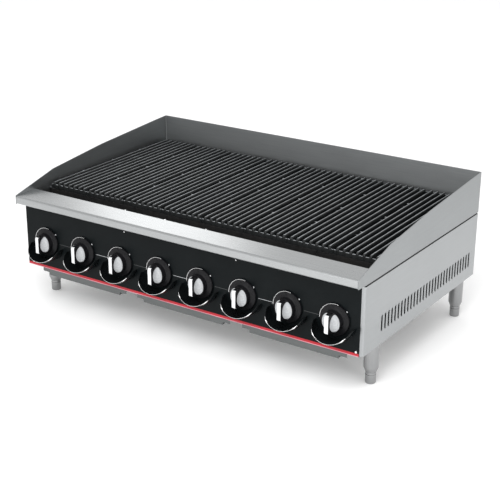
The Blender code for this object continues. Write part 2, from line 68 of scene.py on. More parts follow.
# ---------------------------------------------------------------- places, read from the frame
HALF_W = cad_box[1].x
FRONT_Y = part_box("right_side_panel")[0].y
BACK_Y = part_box("right_side_panel")[1].y
LEFT_FRONT_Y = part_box("left_side_panel")[0].y
SIDE_BOTTOM, SIDE_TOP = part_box("right_side_panel")[0].z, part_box("right_side_panel")[1].z
PANEL_LOW, PANEL_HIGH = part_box("control_panel")
RAIL_LOW, RAIL_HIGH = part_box("front_rail")
SPLASH_LOW, SPLASH_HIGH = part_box("right_splash")
GUARD_REACH = FRONT_Y - PANEL_LOW.y
SHEET = 0.002
CLEARANCE = 0.0005
# Half widths of what fits between the side panels' bent edges, and between the splash guard's sides.
SIDE_FOLD = 0.012
INNER_W = HALF_W - SIDE_FOLD - CLEARANCE
CLEAR_W = RAIL_HIGH.x
# How far each sheet is cut back where a side panel and the splash guard meet.
SEAM_OPEN = 0.001

KNOB_JOINTS = [j for j in frame["record"]["behaviour"]["joints"] if j["name"].startswith("knob_")]
KNOBS = [(j["child"], Vector(j["pos_m"])) for j in KNOB_JOINTS]
PITCH = KNOBS[1][1].x - KNOBS[0][1].x
# One knob, grate and radiant for each burner.
BURNERS = len(KNOBS)


# ---------------------------------------------------------------- materials
class Look:
    """A Principled material with short calls for the nodes that shape it."""

    def __init__(self, name, colour, roughness, metallic=0.0):
        self.material = bpy.data.materials.new(name)
        self.material.use_nodes = True
        self.tree = self.material.node_tree
        self.shader = self.tree.nodes["Principled BSDF"]
        self.shader.inputs["Base Color"].default_value = (*colour, 1.0)
        self.shader.inputs["Roughness"].default_value = roughness
        self.shader.inputs["Metallic"].default_value = metallic
        self.place = self.node("ShaderNodeTexCoord")

    def node(self, kind, **settings):
        """A new node of that kind, with its settings."""
        made = self.tree.nodes.new(kind)
        for key, value in settings.items():
            setattr(made, key, value)
        return made

    def link(self, out, into):
        self.tree.links.new(out, into)

    def noise(self, scale, stretch=(1.0, 1.0, 1.0), detail=3.0, roughness=0.55):
        """Noise in the object's own metres, drawn out along any axis with a small stretch value."""
        mapping = self.node("ShaderNodeMapping")
        mapping.inputs["Scale"].default_value = stretch
        self.link(self.place.outputs["Object"], mapping.inputs["Vector"])
        made = self.node("ShaderNodeTexNoise")
        made.inputs["Scale"].default_value = scale
        made.inputs["Detail"].default_value = detail
        made.inputs["Roughness"].default_value = roughness
        self.link(mapping.outputs["Vector"], made.inputs["Vector"])
        return made.outputs["Fac"]

    def ramp(self, source, low, high, out_low, out_high):
        """The source, mapped from low..high onto out_low..out_high and held at the ends."""
        made = self.node("ShaderNodeMapRange")
        made.inputs["From Min"].default_value = low
        made.inputs["From Max"].default_value = high
        made.inputs["To Min"].default_value = out_low
        made.inputs["To Max"].default_value = out_high
        self.link(source, made.inputs["Value"])
        return made.outputs["Result"]

    def calc(self, operation, *values):
        """One step of arithmetic on plain numbers and other nodes' outputs."""
        made = self.node("ShaderNodeMath", operation=operation)
        for pin, value in zip(made.inputs, values):
            if isinstance(value, float):
                pin.default_value = value
            else:
                self.link(value, pin)
        return made.outputs["Value"]

    def mix(self, factor, first, second):
        """The first colour where the factor is 0 and the second where it is 1."""
        made = self.node("ShaderNodeMix", data_type="RGBA")
        for socket, value in (("A", first), ("B", second)):
            pin = [item for item in made.inputs if item.name == socket and item.type == "RGBA"][0]
            if isinstance(value, tuple):
                pin.default_value = (*value, 1.0)
            else:
                self.link(value, pin)
        self.link(factor, made.inputs["Factor"])
        return [item for item in made.outputs if item.type == "RGBA"][0]

    def colour(self, source):
        self.link(source, self.shader.inputs["Base Color"])

    def rough(self, source):
        self.link(source, self.shader.inputs["Roughness"])

    def bump(self, source, strength, distance):
        """Relief on top of any relief that the material already has."""
        made = self.node("ShaderNodeBump")
        made.inputs["Strength"].default_value = strength
        made.inputs["Distance"].default_value = distance
        self.link(source, made.inputs["Height"])
        if self.shader.inputs["Normal"].links:
            self.link(self.shader.inputs["Normal"].links[0].from_socket, made.inputs["Normal"])
        self.link(made.outputs["Normal"], self.shader.inputs["Normal"])

    def up(self):
        """How far the surface faces up, from -1 to 1."""
        normal = self.node("ShaderNodeNewGeometry")
        split = self.node("ShaderNodeSeparateXYZ")
        self.link(normal.outputs["Normal"], split.inputs["Vector"])
        return split.outputs["Z"]


SATIN_SCALE = 300.0


def brushed(name, tone, roughness, grain, tint):
    """Stainless steel brushed along one axis, with faint cloudy wiping marks."""
    colour = tuple(tone * part for part in tint)
    look = Look(name, colour, roughness, 1.0)
    stretch = tuple(0.012 if axis == grain else 1.0 for axis in "XYZ")
    lines = look.noise(900.0, stretch, 4.0, 0.7)
    clouds = look.noise(5.0, roughness=0.5)
    dark = tuple(part * 0.86 for part in colour)
    light = tuple(min(1.0, part * 1.06) for part in colour)
    fine = look.mix(look.ramp(lines, 0.25, 0.75, 0.0, 1.0), dark, light)
    wiped = tuple(part * 0.80 for part in colour)
    look.colour(look.mix(look.ramp(clouds, 0.35, 0.70, 0.0, 0.22), fine, wiped))
    look.rough(look.ramp(lines, 0.2, 0.8, roughness - 0.05, roughness + 0.07))
    look.bump(lines, 0.10, 0.0002)
    return look.material


def cast_iron(name, base, wear_highlight_tone, low_up, high_up):
    """Rough black casting, with a paler tone on what faces up: wear, and on the grate bars' narrow crests a
    painted highlight as well.
    """
    look = Look(name, base, 0.6, 0.35)
    grain = look.noise(420.0, detail=5.0, roughness=0.65)
    patches = look.noise(26.0, detail=4.0, roughness=0.6)
    facing_up = look.ramp(look.up(), low_up, high_up, 0.0, 1.0)
    wear_and_highlight = look.calc("MULTIPLY", facing_up, look.ramp(patches, 0.30, 0.70, 0.35, 1.0))
    look.colour(look.mix(wear_and_highlight, base, wear_highlight_tone))
    look.rough(look.ramp(patches, 0.3, 0.7, 0.34, 0.58))
    look.bump(grain, 0.35, 0.0006)
    look.bump(patches, 0.25, 0.0015)
    return look.material


def gloss(name, colour, roughness, flaw=0.06, scale=60.0, shine=0.5, lift=0.004):
    """A smooth painted or moulded surface with faint unevenness and paler handling marks."""
    look = Look(name, colour, roughness)
    look.shader.inputs["Specular IOR Level"].default_value = shine
    peel = look.noise(scale * 9.0, detail=2.0)
    marks = look.noise(scale * 0.25, detail=4.0, roughness=0.6)
    lighter = tuple(min(1.0, part * 1.25 + lift) for part in colour)
    look.colour(look.mix(look.ramp(marks, 0.4, 0.75, 0.0, 0.6), colour, lighter))
    look.rough(look.ramp(marks, 0.35, 0.75, roughness, roughness + flaw))
    look.bump(peel, 0.04, 0.0002)
    return look.material


def satin_metal(name, tone, roughness):
    """Fine satin metal or metallised plastic, with no clear grain direction."""
    look = Look(name, (tone, tone, tone * 1.01), roughness, 0.9)
    fine = look.noise(SATIN_SCALE)
    darker = (tone * 0.9,) * 3
    lighter = (min(1.0, tone * 1.05),) * 3
    look.colour(look.mix(look.ramp(fine, 0.3, 0.7, 0.0, 1.0), darker, lighter))
    look.rough(look.ramp(fine, 0.3, 0.7, roughness - 0.04, roughness + 0.05))
    look.bump(fine, 0.05, 0.0001)
    return look.material


def heated(name, tone, roughness):
    """Sheet steel that heat has browned and greased unevenly."""
    look = Look(name, (tone, tone, tone), roughness, 0.8)
    patches = look.noise(14.0, detail=5.0, roughness=0.6)
    streaks = look.noise(60.0, (1.0, 1.0, 0.15), 4.0)
    clean = (tone, tone, tone * 1.02)
    brown = (tone * 0.80, tone * 0.74, tone * 0.68)
    grease = (tone * 0.35,) * 3
    browned = look.mix(look.ramp(patches, 0.40, 0.70, 0.0, 0.8), clean, brown)
    look.colour(look.mix(look.ramp(streaks, 0.45, 0.75, 0.0, 0.5), browned, grease))
    look.rough(look.ramp(patches, 0.3, 0.7, roughness - 0.08, roughness + 0.15))
    look.bump(streaks, 0.08, 0.0004)
    return look.material


KNOB_DARK_TONE = (0.007, 0.007, 0.008)
# The silver on a knob's grip, in the grip's own axes: X across, Y along and Z out of the panel.
OVAL_HALF_W = 0.0158
OVAL_HALF_L = 0.0255
OVAL_LOWERED = 0.0012
OVAL_INWARD = 0.0054
OVAL_SLANT = 0.669
FLANK_TOP_Z = 0.0434
BAR_FACE_Z = 0.0454
BAR_FACE_HALF_W = 0.0059
PAINT_EDGE = 0.0002


def two_tone(name):
    """A black grip whose bar face is bright silver and whose scooped flanks are silver ovals, painted darker
    than the face as shade.
    """
    look = Look(name, KNOB_DARK_TONE, 0.3)
    split = look.node("ShaderNodeSeparateXYZ")
    look.link(look.place.outputs["Object"], split.inputs["Vector"])
    across = look.calc("ABSOLUTE", split.outputs["X"])
    along = split.outputs["Y"]
    out = split.outputs["Z"]
    slant = look.calc("MULTIPLY_ADD", out, -OVAL_SLANT, across)
    u = look.calc("MULTIPLY_ADD", slant, 1 / OVAL_HALF_W, OVAL_INWARD / OVAL_HALF_W)
    v = look.calc("MULTIPLY_ADD", along, 1 / OVAL_HALF_L, OVAL_LOWERED / OVAL_HALF_L)
    v_squared = look.calc("MULTIPLY", v, v)
    oval = look.calc("MULTIPLY_ADD", u, u, v_squared)
    in_oval = look.ramp(oval, 0.94, 1.0, 1.0, 0.0)
    below_bar = look.ramp(out, FLANK_TOP_Z - PAINT_EDGE, FLANK_TOP_Z + PAINT_EDGE, 1.0, 0.0)
    flank = look.calc("MULTIPLY", in_oval, below_bar)
    on_top = look.ramp(out, BAR_FACE_Z - PAINT_EDGE, BAR_FACE_Z + PAINT_EDGE, 0.0, 1.0)
    in_width = look.ramp(across, BAR_FACE_HALF_W - PAINT_EDGE / 2, BAR_FACE_HALF_W + PAINT_EDGE / 2, 1.0, 0.0)
    bar = look.calc("MULTIPLY", on_top, in_width)
    fine = look.noise(SATIN_SCALE)
    grain = look.ramp(fine, 0.3, 0.7, 0.0, 1.0)
    # The flanks' silver is darker than the bar face's: painted shade on the scooped sides.
    shaded_flank_silver = look.mix(grain, (0.34, 0.35, 0.36), (0.46, 0.47, 0.48))
    bright = look.mix(grain, (0.62, 0.63, 0.64), (0.74, 0.75, 0.76))
    with_flank = look.mix(flank, KNOB_DARK_TONE, shaded_flank_silver)
    look.colour(look.mix(bar, with_flank, bright))
    silver = look.calc("MAXIMUM", flank, bar)
    look.rough(look.ramp(silver, 0.0, 1.0, 0.26, 0.40))
    look.bump(fine, 0.04, 0.0001)
    return look.material


STEEL_SIDE = brushed("steel_side", 0.41, 0.32, "Y", (0.955, 0.985, 1.0))
STEEL_SPLASH = brushed("steel_splash", 0.37, 0.40, "Y", (0.95, 0.985, 1.0))
STEEL_WIDE = brushed("steel_wide", 0.42, 0.27, "X", (0.965, 0.99, 1.0))
STEEL_BACK = brushed("steel_back", 0.36, 0.44, "X", (0.95, 0.985, 1.0))
# The trays' steel is far darker than the other steel: painted shade under the control panel.
STEEL_TRAY_SHADED = brushed("steel_tray_shaded", 0.155, 0.36, "X", (0.95, 1.0, 1.0))
STEEL_LEG = brushed("steel_leg", 0.33, 0.13, "Z", (0.98, 0.99, 1.0))
STEEL_EDGE = satin_metal("steel_edge", 0.82, 0.28)
# The grease trough's steel is near-black: its heat and grease marks plus painted shade in the recess below
# the grates.
STEEL_TROUGH_SHADED = heated("steel_trough_shaded", 0.085, 0.32)
STEEL_DARK = heated("steel_dark", 0.10, 0.5)
# The grate's pale crest tone is partly wear and partly a painted highlight along the bar tops.
IRON_GRATE = cast_iron("iron_grate", (0.010, 0.0115, 0.012), (0.55, 0.58, 0.60), 0.93, 1.0)
IRON_BELOW = cast_iron("iron_below", (0.012, 0.012, 0.012), (0.030, 0.028, 0.026), 0.2, 0.9)
BRASS = satin_metal("brass_pipe", 0.5, 0.35)
PANEL_BLACK = gloss("panel_black", (0.0040, 0.0056, 0.0062), 0.30, 0.05, shine=0.08, lift=0.002)
GUARD_BLACK = gloss("guard_black", (0.004, 0.005, 0.0055), 0.26, 0.05, shine=0.12)
STRIPE_RED = gloss("stripe_red", (0.38, 0.013, 0.022), 0.30, 0.05, shine=0.3)
STRIPE_EDGE_HIGHLIGHT = gloss("stripe_edge_highlight", (0.58, 0.22, 0.27), 0.40, 0.05)
KNOB_BLACK = gloss("knob_black_plastic", KNOB_DARK_TONE, 0.24, 0.08, scale=140.0, shine=0.14)
KNOB_TWO_TONE = two_tone("knob_two_tone")
# Pale silver for the painted highlights on the guards' lips and the knobs' rims.
HIGHLIGHT_SILVER = satin_metal("highlight_silver", 0.85, 0.22)
PRINT_PALE = gloss("print_pale", (0.40, 0.41, 0.42), 0.45)
PRINT_FAINT = gloss("print_faint", (0.035, 0.037, 0.038), 0.30)
PRINT_WHITE = gloss("print_white", (0.86, 0.87, 0.88), 0.35)
SEAM_SHADE = gloss("seam_painted_shade", (0.010, 0.010, 0.011), 0.6)


# ---------------------------------------------------------------- piece tools
def place(obj, look, body, replaces=(), smooth=35.0):
    """Puts a finished mesh in the scene: its material, shading and body, and hides the CAD nodes that it
    replaces.
    """
    obj.data.materials.append(look)
    obj.data.shade_smooth()
    obj.data.set_sharp_from_angle(angle=math.radians(smooth))
    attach(obj, body)
    if replaces:
        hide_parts(*replaces)


def mesh_object(name, shape):
    """Turns a finished bmesh into an object in the scene."""
    mesh = bpy.data.meshes.new(name)
    shape.to_mesh(mesh)
    shape.free()
    obj = bpy.data.objects.new(name, mesh)
    bpy.context.scene.collection.objects.link(obj)
    return obj


def copied(source, name):
    """A new object in the scene with its own copy of the source's mesh."""
    obj = bpy.data.objects.new(name, source.data.copy())
    bpy.context.scene.collection.objects.link(obj)
    return obj


def soften(obj, width, segments=2, angle=40.0):
    """Bevels the edges that are sharper than the angle, in degrees."""
    edge = obj.modifiers.new("edge", "BEVEL")
    edge.width = width
    edge.segments = segments
    edge.limit_method = "ANGLE"
    edge.angle_limit = math.radians(angle)


def even_shading(obj):
    """Keeps flat faces flat where they meet small bends."""
    normals = obj.modifiers.new("normals", "WEIGHTED_NORMAL")
    normals.keep_sharp = True


def box_outline(low, high):
    """The corners of a rectangle, from its lowest and highest corners."""
    return [(low[0], low[1]), (high[0], low[1]), (high[0], high[1]), (low[0], high[1])]


def rounded(points, radius, steps=4):
    """The outline with each inner corner turned into a small curve."""
    points = [Vector(point) for point in points]
    result = [points[0]]
    for before, corner, after in zip(points, points[1:], points[2:]):
        into = corner - before
        out = after - corner
        reach = min(radius, 0.45 * into.length, 0.45 * out.length)
        start = corner - into.normalized() * reach
        end = corner + out.normalized() * reach
        for step in range(steps + 1):
            t = step / steps
            result.append(start * (1 - t) ** 2 + corner * 2 * t * (1 - t) + end * t ** 2)
    result.append(points[-1])
    return result


# For each direction of travel: an outline's first axis, its second axis and the travel's own.
AXES = {"X": (1, 2, 0), "Y": (0, 2, 1), "Z": (0, 1, 2)}
SHEET_EDGE = 0.0004


def sheet(name, outline, along, start, end, thickness=SHEET, parts=1):
    """Sheet metal on an outline, whose metal lies on the outline's left."""
    first, second, third = AXES[along]
    shape = bmesh.new()
    rows = []
    for part in range(parts + 1):
        row = []
        for pair in outline:
            point = Vector((0.0, 0.0, 0.0))
            point[first], point[second] = pair[0], pair[1]
            point[third] = start + (end - start) * part / parts
            row.append(shape.verts.new(point))
        rows.append(row)
    for near, far in zip(rows, rows[1:]):
        for index in range(len(outline) - 1):
            corners = [near[index], near[index + 1], far[index + 1], far[index]]
            shape.faces.new(corners if along != "Y" else corners[::-1])
    obj = mesh_object(name, shape)
    solid = obj.modifiers.new("metal", "SOLIDIFY")
    solid.thickness = thickness
    solid.offset = -1.0
    solid.use_even_offset = True
    soften(obj, SHEET_EDGE, 1, 60.0)
    even_shading(obj)
    return obj


def grow(shape, face, shift):
    """Extrudes a face by a vector."""
    grown = bmesh.ops.extrude_face_region(shape, geom=[face])
    moved = [item for item in grown["geom"] if isinstance(item, bmesh.types.BMVert)]
    bmesh.ops.translate(shape, verts=moved, vec=shift)


def circle(radius, sides):
    """Points round the origin, as (across, up)."""
    turns = [math.tau * k / sides for k in range(sides)]
    return [(radius * math.cos(turn), radius * math.sin(turn)) for turn in turns]


def prism(name, outline, along, start, end, edge=0.0, segments=2):
    """A solid plate on an outline, with its edges softened by the width given."""
    first, second, third = AXES[along]
    shape = bmesh.new()
    corners = []
    for pair in outline:
        point = Vector((0.0, 0.0, 0.0))
        point[first], point[second], point[third] = pair[0], pair[1], start
        corners.append(shape.verts.new(point))
    face = shape.faces.new(corners)
    shift = Vector((0.0, 0.0, 0.0))
    shift[third] = end - start
    grow(shape, face, shift)
    bmesh.ops.recalc_face_normals(shape, faces=shape.faces)
    obj = mesh_object(name, shape)
    if edge:
        soften(obj, edge, segments)
        even_shading(obj)
    return obj


def turned(name, profile, steps):
    """A solid of revolution about local Z. The profile lists (radius, height) from its top down."""
    shape = bmesh.new()
    rings = []
    for radius, height in profile:
        if radius == 0.0:
            rings.append([shape.verts.new((0.0, 0.0, height))])
        else:
            rings.append([shape.verts.new((x, y, height)) for x, y in circle(radius, steps)])
    for above, below in zip(rings, rings[1:]):
        for step in range(steps):
            after = (step + 1) % steps
            corners = [above[step % len(above)], below[step % len(below)]]
            corners += [below[after % len(below)], above[after % len(above)]]
            unique = list(dict.fromkeys(corners))
            if len(unique) > 2:
                shape.faces.new(unique)
    bmesh.ops.recalc_face_normals(shape, faces=shape.faces)
    return mesh_object(name, shape)


def loft(shape, sections, close_ends=True):
    """Skins rings of equal length, in order, and returns their vertices."""
    rings = [[shape.verts.new(point) for point in section] for section in sections]
    count = len(rings[0])
    for near, far in zip(rings, rings[1:]):
        for index in range(count):
            after = (index + 1) % count
            shape.faces.new((near[index], near[after], far[after], far[index]))
    if close_ends:
        shape.faces.new(rings[0][::-1])
        shape.faces.new(rings[-1])
    return rings


def tube(name, points, radii, sides):
    """A round strip along points, with a radius at each, closed by its ends."""
    shape = bmesh.new()
    sections = []
    for index, point in enumerate(points):
        ahead = points[min(index + 1, len(points) - 1)] - points[max(index - 1, 0)]
        ahead.normalize()
        if index == 0:
            side = ahead.orthogonal().normalized()
        else:
            side = (side - ahead * side.dot(ahead)).normalized()
        other = ahead.cross(side)
        sections.append([point + side * across + other * up for across, up in circle(radii[index], sides)])
    loft(shape, sections)
    bmesh.ops.recalc_face_normals(shape, faces=shape.faces)
    return mesh_object(name, shape)


def screw_head(name, centre, facing, radius):
    """A low domed screw head on the cabinet, without its cross recess."""
    height = radius * 0.45
    sunk = -0.0006
    profile = [(0.0, height), (radius * 0.35, height * 0.97), (radius * 0.7, height * 0.75),
               (radius * 0.93, height * 0.35), (radius, 0.0), (radius * 0.98, sunk), (0.0, sunk)]
    obj = turned(name, profile, 20)
    turn = Vector((0.0, 0.0, 1.0)).rotation_difference(Vector(facing))
    obj.matrix_world = Matrix.Translation(centre) @ turn.to_matrix().to_4x4()
    place(obj, STEEL_EDGE, ROOT)


# ---------------------------------------------------------------- sides with louvres
LOUVRES = 30
LOUVRE_PITCH = 0.0198
LOUVRE_START = 0.105
LOUVRE_GAP = 0.0012
LOUVRE_RAMP = 0.0098
LOUVRE_LOW = 0.157
LOUVRE_HIGH = 0.207
LOUVRE_DEPTH = 0.0030
LOUVRE_METAL = 0.0015
# How deep a louvre is pressed in, as (distance from its upper or lower end, share of its depth).
LOUVRE_ENDS = ((0.0, 0.0), (0.002, 0.45), (0.005, 0.85), (0.009, 1.0))
FLANGE_X = HALF_W - 0.0115
SIDE_BEND = 0.003
CURVE_STEPS = 4


def side_skin(name, side, node):
    """A side with bent front and back edges and a louvre pressed in before each slot."""
    front = FRONT_Y if side > 0 else LEFT_FRONT_Y
    # The bent edge in plan: (x, distance from the front or back).
    path = [(FLANGE_X, 0.0)]
    for step in range(CURVE_STEPS + 1):
        turn = math.pi / 2 * step / CURVE_STEPS
        path.append((HALF_W - SIDE_BEND + SIDE_BEND * math.sin(turn), SIDE_BEND - SIDE_BEND * math.cos(turn)))
    # One column of points for each (x, y, how far it is pressed in, whether a slot follows).
    columns = [(x, front + y, 0.0, False) for x, y in path]
    for index in range(LOUVRES):
        slot_y = FRONT_Y + LOUVRE_START + index * LOUVRE_PITCH
        for step in range(CURVE_STEPS + 1):
            share = step / CURVE_STEPS
            sunk = share * share * (3 - 2 * share)
            at_slot = step == CURVE_STEPS
            columns.append((HALF_W, slot_y - LOUVRE_RAMP * (1 - share), sunk, at_slot))
        columns.append((HALF_W, slot_y + LOUVRE_GAP, 0.0, False))
    columns += [(x, BACK_Y - y, 0.0, False) for x, y in reversed(path)]
    rows = [(SIDE_BOTTOM, 0.0)]
    rows += [(LOUVRE_LOW + inward, deep) for inward, deep in LOUVRE_ENDS]
    rows += [(LOUVRE_HIGH - inward, deep) for inward, deep in reversed(LOUVRE_ENDS)]
    rows.append((SIDE_TOP - SEAM_OPEN, 0.0))
    shape = bmesh.new()
    grid = []
    for x, y, sunk, _ in columns:
        grid.append([shape.verts.new((side * (x - LOUVRE_DEPTH * sunk * deep), y, z)) for z, deep in rows])
    for (near, far), (_, _, _, opened) in zip(zip(grid, grid[1:]), columns):
        for row in range(len(rows) - 1):
            is_slot = opened and 1 <= row <= len(rows) - 3
            if not is_slot:
                corners = (near[row], far[row], far[row + 1], near[row + 1])
                shape.faces.new(corners if side > 0 else corners[::-1])
    obj = mesh_object(name, shape)
    solid = obj.modifiers.new("metal", "SOLIDIFY")
    solid.thickness = LOUVRE_METAL
    solid.offset = -1.0
    even_shading(obj)
    place(obj, STEEL_SIDE, ROOT, (node,), 50.0)


side_skin("side_skin_left", -1, "left_side_panel")
side_skin("side_skin_right", 1, "right_side_panel")

# ---------------------------------------------------------------- rail, splash guard, back
RAIL_LIP_Z = RAIL_LOW.z
RAIL_FRONT = RAIL_LOW.y
RAIL_NOSE_Z = 0.354
RAIL_NOSE_RADIUS = 0.006
RAIL_LIP = 0.016
RAIL_BACK_FOLD = 0.014


def rail():
    """The front ledge: a lip below, a rounded nose, a top that rises to the back and a fold down."""
    outline = [(RAIL_FRONT + RAIL_LIP, RAIL_LIP_Z), (RAIL_FRONT, RAIL_LIP_Z), (RAIL_FRONT, RAIL_NOSE_Z),
               (RAIL_HIGH.y, RAIL_HIGH.z), (RAIL_HIGH.y, RAIL_HIGH.z - RAIL_BACK_FOLD)]
    bent = rounded(outline, RAIL_NOSE_RADIUS, 6)
    obj = sheet("rail_sheet", bent[::-1], "X", -CLEAR_W, CLEAR_W, parts=4)
    place(obj, STEEL_WIDE, ROOT, ("front_rail",), 25.0)


rail()

SPLASH_TIP_Y = FRONT_Y - 0.041
SPLASH_FOOT_Z = SPLASH_LOW.z + SEAM_OPEN
SPLASH_TOP = [
    (SPLASH_TIP_Y, 0.356),
    (FRONT_Y + 0.132, 0.402),
    (FRONT_Y + 0.370, 0.430),
    (FRONT_Y + 0.655, 0.4515),
    (BACK_Y, SPLASH_HIGH.z),
]
SPLASH_EDGE = 0.0006
SHELF_TOP = 0.3445
SHELF_INNER_X = 0.569
SHELF_FRONT_Y = FRONT_Y + 0.112
BACK_SHELF_HALF_W = 0.568
BACK_SHELF_FRONT_Y = BACK_Y - 0.024
CORNER_RADIUS = 0.0024
CORNER_INSET = SHEET + 0.0025


def shelf(name, low, high):
    """A folded shelf of the splash guard just below the grates, between two corners in plan."""
    plate = prism(name, box_outline(low, high), "Z", SHELF_TOP - SHEET, SHELF_TOP)
    place(plate, STEEL_BACK, ROOT)


def side_splash(name, side, node):
    """One side of the splash guard, with the shelf beside the grates and the seam in the corner."""
    outline = [(FRONT_Y, SPLASH_FOOT_Z), (SPLASH_TIP_Y, RAIL_LIP_Z)] + SPLASH_TOP + [(BACK_Y, SPLASH_FOOT_Z)]
    obj = prism(name, outline, "X", side * (HALF_W - SHEET), side * HALF_W, SPLASH_EDGE)
    place(obj, STEEL_SPLASH, ROOT, (node,), 60.0)
    left, right = sorted((side * SHELF_INNER_X, side * (HALF_W - SHEET)))
    shelf(name.replace("side", "shelf"), (left, SHELF_FRONT_Y), (right, BACK_Y - SHEET - 0.001))
    x = side * (HALF_W - CORNER_INSET)
    y = BACK_Y - CORNER_INSET
    points = [Vector((x, y, z)) for z in (SHELF_TOP, 0.40, SPLASH_HIGH.z - 0.001)]
    seam = tube(name.replace("side", "corner"), points, [CORNER_RADIUS] * len(points), 12)
    place(seam, STEEL_BACK, ROOT)


side_splash("splash_side_left", -1, "left_splash")
side_splash("splash_side_right", 1, "right_splash")


SEAM_INSET = 0.003
SEAM_LAP = 0.004
SEAM_FACE_X = HALF_W - 0.0022
SEAM_BACK_X = HALF_W - 0.0040


def seam_strip(name, side):
    """A dark strip behind the gap between a side panel and the splash guard above it, painted shade in the
    gap.
    """
    outline = box_outline((FRONT_Y + SEAM_INSET, SIDE_TOP - SEAM_LAP),
                          (BACK_Y - SEAM_INSET, SPLASH_LOW.z + SEAM_LAP))
    obj = prism(name, outline, "X", side * SEAM_BACK_X, side * SEAM_FACE_X)
    place(obj, SEAM_SHADE, ROOT)


seam_strip("seam_left", -1)
seam_strip("seam_right", 1)

back_section = box_outline((BACK_Y - SHEET, SPLASH_LOW.z), (BACK_Y, SPLASH_HIGH.z))
back_sheet = prism("splash_back", back_section, "X", -CLEAR_W, CLEAR_W, SPLASH_EDGE)
place(back_sheet, STEEL_BACK, ROOT, ("back_splash",), 60.0)
shelf("splash_back_shelf", (-BACK_SHELF_HALF_W, BACK_SHELF_FRONT_Y), (BACK_SHELF_HALF_W, BACK_Y - SHEET))

BACK_PANEL_FOOT = 0.1255
BACK_PANEL_FOLD = 0.015
BACK_PANEL_BEND = 0.003
back_bends = rounded([(BACK_Y - BACK_PANEL_FOLD, BACK_PANEL_FOOT), (BACK_Y, BACK_PANEL_FOOT),
                      (BACK_Y, SIDE_TOP), (BACK_Y - BACK_PANEL_FOLD, SIDE_TOP)], BACK_PANEL_BEND)
back_skin = sheet("back_skin", back_bends, "X", -INNER_W, INNER_W)
place(back_skin, STEEL_WIDE, ROOT, ("back_panel",), 40.0)


# ---------------------------------------------------------------- control panel
PANEL_TOP = PANEL_HIGH.z
PANEL_BOTTOM = PANEL_LOW.z
PANEL_LEFT = PANEL_LOW.x
PANEL_RIGHT = PANEL_HIGH.x
STRIPE_BOTTOM = PANEL_BOTTOM + 0.0022
STRIPE_TOP = PANEL_BOTTOM + 0.0090
STEM_HOLE = 0.0065


def drill(obj, holes):
    """Cuts round holes along Y, given as (x, z, radius), and keeps the result as plain mesh."""
    reach = 0.01
    shape = bmesh.new()
    for x, z, radius in holes:
        rim = [shape.verts.new((x + across, FRONT_Y - reach, z + up)) for across, up in circle(radius, 24)]
        grow(shape, shape.faces.new(rim), (0.0, 2 * reach, 0.0))
    bmesh.ops.recalc_face_normals(shape, faces=shape.faces)
    cutter = mesh_object("drill", shape)
    hole = obj.modifiers.new("holes", "BOOLEAN")
    hole.operation = "DIFFERENCE"
    hole.solver = "EXACT"
    hole.object = cutter
    bpy.context.view_layer.update()
    cut = bpy.data.meshes.new_from_object(obj.evaluated_get(bpy.context.evaluated_depsgraph_get()))
    obj.modifiers.clear()
    obj.data = cut
    bpy.data.objects.remove(cutter, do_unlink=True)


def panel():
    """The flat face with its stem holes, its top and bottom folds, the painted stripe and a pale band below
    it that paints the highlight on the bottom edge.
    """
    outline = [(PANEL_LEFT, PANEL_BOTTOM), (PANEL_RIGHT, PANEL_BOTTOM), (PANEL_RIGHT, PANEL_TOP),
               (-CLEAR_W, PANEL_TOP), (-CLEAR_W, SIDE_TOP), (PANEL_LEFT, SIDE_TOP)]
    face = prism("panel_face", outline, "Y", FRONT_Y, FRONT_Y + SHEET)
    drill(face, [(centre.x, centre.z, STEM_HOLE) for _, centre in KNOBS])
    place(face, PANEL_BLACK, ROOT, ("control_panel",), 25.0)
    folds = (
        ("panel_top_fold", -CLEAR_W, PANEL_TOP - SHEET, 0.030),
        ("panel_low_fold", PANEL_LEFT, PANEL_BOTTOM, 0.007),
    )
    for name, left, z, depth in folds:
        section = box_outline((left, z), (PANEL_RIGHT, z + SHEET))
        fold = prism(name, section, "Y", FRONT_Y + SHEET - 0.0002, FRONT_Y + depth)
        place(fold, PANEL_BLACK, ROOT)
    bands = (
        ("panel_stripe", STRIPE_BOTTOM, STRIPE_TOP, STRIPE_RED),
        # The pale band under the stripe is a painted highlight on the panel's bottom edge.
        ("panel_edge", PANEL_BOTTOM + 0.0001, STRIPE_BOTTOM, STRIPE_EDGE_HIGHLIGHT),
    )
    for name, low, high, look in bands:
        section = box_outline((PANEL_LEFT + 0.0005, low), (PANEL_RIGHT - 0.0005, high))
        band = prism(name, section, "Y", FRONT_Y - 0.0003, FRONT_Y + 0.0005)
        place(band, look, ROOT)


panel()

GUARD_SPREAD = math.radians(86)
GUARD_THICK = 0.0025
# The guard's half ovals at the panel and at the lip, as (half width, height), and how far they drop.
GUARD_ROOT = (0.0605, 0.0480)
GUARD_LIP = (0.0590, 0.0435)
GUARD_DROP = 0.010
GUARD_BULGE = 0.0022
LIP_BACK = 0.0022
# The painted highlight's reach each way from straight down and its widest places, in degrees.
GLINT_SPREAD = 62.0
GLINT_SHOULDER = 50.0
GLINT_SHOULDER_W = 7.0
GLINT_THIN = 0.0006
GLINT_SWELL = 0.0012


def guard_point(centre, turn, out):
    """A point on the guard, at an angle from straight down and from 0 at the panel to 1 at the lip."""
    aside, down = math.sin(turn), math.cos(turn)
    reach = (GUARD_REACH - LIP_BACK) * math.sqrt(max(down, 0.0))
    root = Vector((GUARD_ROOT[0] * aside, 0.0008, -GUARD_DROP - GUARD_ROOT[1] * down))
    lip = Vector((GUARD_LIP[0] * aside, -reach, -GUARD_DROP - GUARD_LIP[1] * down))
    swell = Vector((aside, 0.0, -down)) * GUARD_BULGE * math.sin(math.pi * out)
    return centre + root.lerp(lip, out) + swell


